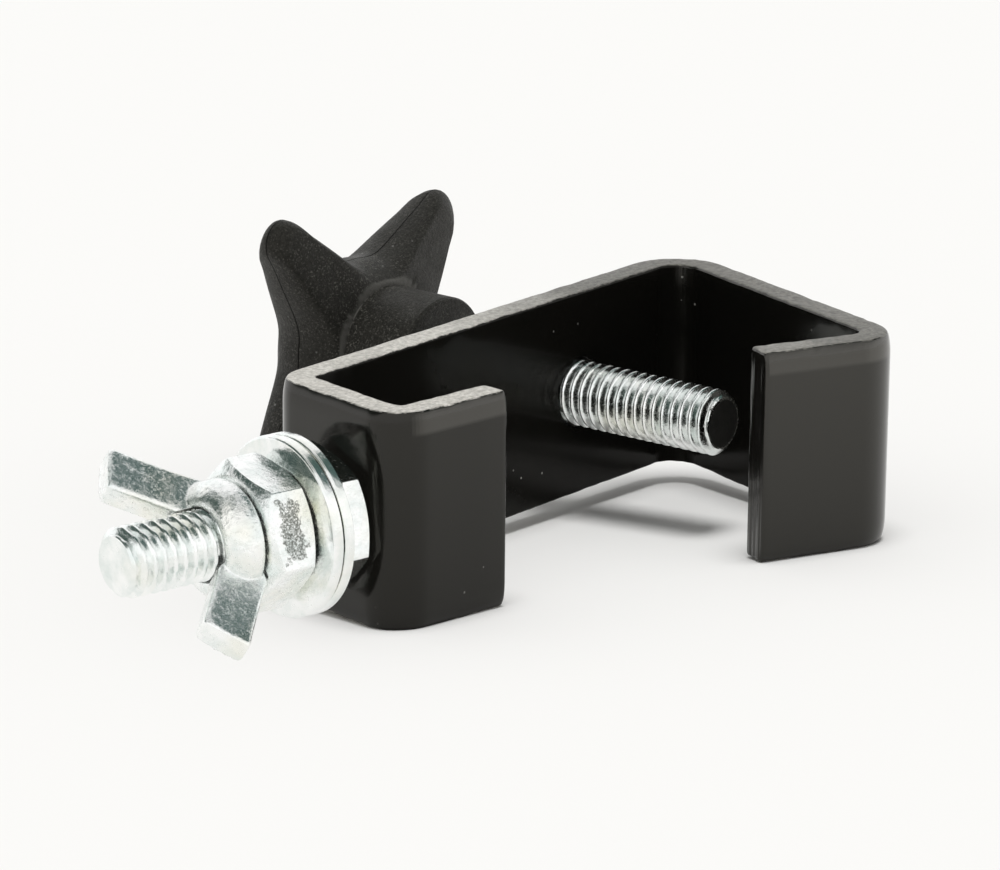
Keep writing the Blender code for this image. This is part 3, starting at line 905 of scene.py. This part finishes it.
def add_world():
    """An even white room, with three dark patches high up that only reflections show."""
    world = bpy.data.worlds.new("white_room")
    bpy.context.scene.world = world
    world.use_nodes = True
    tree = world.node_tree

    def add(kind, **values):
        made = tree.nodes.new(kind)
        for key, value in values.items():
            setattr(made, key, value)
        return made

    place = add("ShaderNodeTexCoord").outputs["Generated"]
    split = add("ShaderNodeSeparateXYZ")
    tree.links.new(place, split.inputs[0])
    lower = add("ShaderNodeMapRange")
    tree.links.new(split.outputs["Z"], lower.inputs["Value"])
    lower.inputs["From Min"].default_value = 0.5
    lower.inputs["From Max"].default_value = 1.0
    lower.inputs["To Min"].default_value = 1.12
    lower.inputs["To Max"].default_value = 0.85
    seen = lower.outputs["Result"]
    patches = (
        ((0.60, -0.25, 0.76), 0.90, 0.955, (0.07, 0.115, 0.108)),
        ((-0.15, -0.05, 0.98), 0.955, 0.985, (0.10, 0.13, 0.12)),
        ((-0.55, 0.60, 0.58), 0.84, 0.94, (0.07, 0.10, 0.09)),
    )
    for direction, start, full, dark in patches:
        aim = add("ShaderNodeVectorMath", operation="DOT_PRODUCT")
        tree.links.new(place, aim.inputs[0])
        aim.inputs[1].default_value = Vector(direction).normalized()
        share = add("ShaderNodeMapRange", interpolation_type="SMOOTHSTEP")
        tree.links.new(aim.outputs["Value"], share.inputs["Value"])
        share.inputs["From Min"].default_value = start
        share.inputs["From Max"].default_value = full
        mixed = add("ShaderNodeMix", data_type="RGBA")
        tree.links.new(share.outputs["Result"], mixed.inputs["Factor"])
        tree.links.new(seen, mixed.inputs[6])
        mixed.inputs[7].default_value = (*dark, 1)
        seen = mixed.outputs[2]
    mirrored = tree.nodes["Background"]
    tree.links.new(seen, mirrored.inputs["Color"])
    even = add("ShaderNodeBackground")
    even.inputs["Color"].default_value = (0.50, 0.50, 0.497, 1)
    backdrop = add("ShaderNodeBackground")
    backdrop.inputs["Color"].default_value = (1, 1, 1, 1)
    path = add("ShaderNodeLightPath")
    by_gloss = add("ShaderNodeMixShader")
    tree.links.new(path.outputs["Is Glossy Ray"], by_gloss.inputs[0])
    tree.links.new(even.outputs[0], by_gloss.inputs[1])
    tree.links.new(mirrored.outputs[0], by_gloss.inputs[2])
    by_camera = add("ShaderNodeMixShader")
    tree.links.new(path.outputs["Is Camera Ray"], by_camera.inputs[0])
    tree.links.new(by_gloss.outputs[0], by_camera.inputs[1])
    tree.links.new(backdrop.outputs[0], by_camera.inputs[2])
    tree.links.new(by_camera.outputs[0], tree.nodes["World Output"].inputs[0])


def add_camera():
    """A long lens, 0.67 m away, looking down by 16 degrees from in front of the left lip."""
    azimuth = math.radians(-52.252)
    elevation = math.radians(16.157)
    roll = math.radians(0.561)
    distance = 0.668
    level = math.cos(elevation)
    back = Vector((math.sin(azimuth) * level, -math.cos(azimuth) * level, math.sin(elevation)))
    right = UP.cross(back).normalized()
    up = back.cross(right)
    stud = Vector(JOINTS["knob_turn"]["pos_m"])
    middle = stud + Vector((-17.8, -20.0, 0.0)) * MM
    shift_right = -12.781 * MM
    shift_up = 0.348 * MM
    target = middle + right * shift_right + up * shift_up
    right, up = (
        right * math.cos(roll) + up * math.sin(roll),
        up * math.cos(roll) - right * math.sin(roll),
    )
    camera = bpy.data.cameras.new("camera")
    camera.sensor_width = 36.0
    camera.lens = 173.303
    camera.clip_start = 0.01
    holder = bpy.data.objects.new("camera", camera)
    bpy.context.scene.collection.objects.link(holder)
    turn = Matrix((right, up, back)).transposed().to_4x4()
    holder.matrix_world = Matrix.Translation(target + back * distance) @ turn
    bpy.context.scene.camera = holder


def main():
    coat = black_coat()
    plated = bright_zinc("zinc_plated", 0.35)
    cast = bright_zinc("zinc_cast", 1.0, 0.7)
    # The stud's zinc has the strongest painted shade, in its thread roots.
    root_shaded = bright_zinc("zinc_greased", 0.5, 0.5, 0.9)
    bolt_place = axis_frame(JOINTS["fixing_nut_turn"])
    torn = bright_zinc("zinc_torn", 0.8, 0.7, facet=nut_facet("fixing_nut", bolt_place))
    stud_place = axis_frame(JOINTS["knob_turn"], flip=True)

    build_bracket(coat)
    build_bolt(bolt_place, plated)
    build_nut("lock_nut", "jam_nut", "bracket", bolt_place, plated)
    build_washer("washer_inner", "inner_washer", "inner_washer", bolt_place, plated, 3)
    build_washer("washer_outer", "outer_washer", "outer_washer", bolt_place, plated, 8)
    build_nut("hex_nut", "fixing_nut", "fixing_nut", bolt_place, torn)
    build_wing_nut(bolt_place, cast)
    build_stud(stud_place, root_shaded, cut_steel_end())
    boss_end_y = stud_place.translation.y + span("knob", stud_place)[0]
    build_knob(stud_place, grained_plastic(boss_end_y + KNOB_MIDDLE, boss_end_y + KNOB_ROOT_LINE))

    # The bright parts neither shade the floor nor throw light on it.
    for name in ("bolt_body", "lock_nut", "washer_inner", "washer_outer", "hex_nut", "wing_nut_cast"):
        bpy.data.objects[name].visible_shadow = False
        bpy.data.objects[name].visible_diffuse = False

    add_floor()
    add_world()
    add_sun()
    add_camera()
    bpy.context.scene.view_settings.view_transform = "Standard"


main()
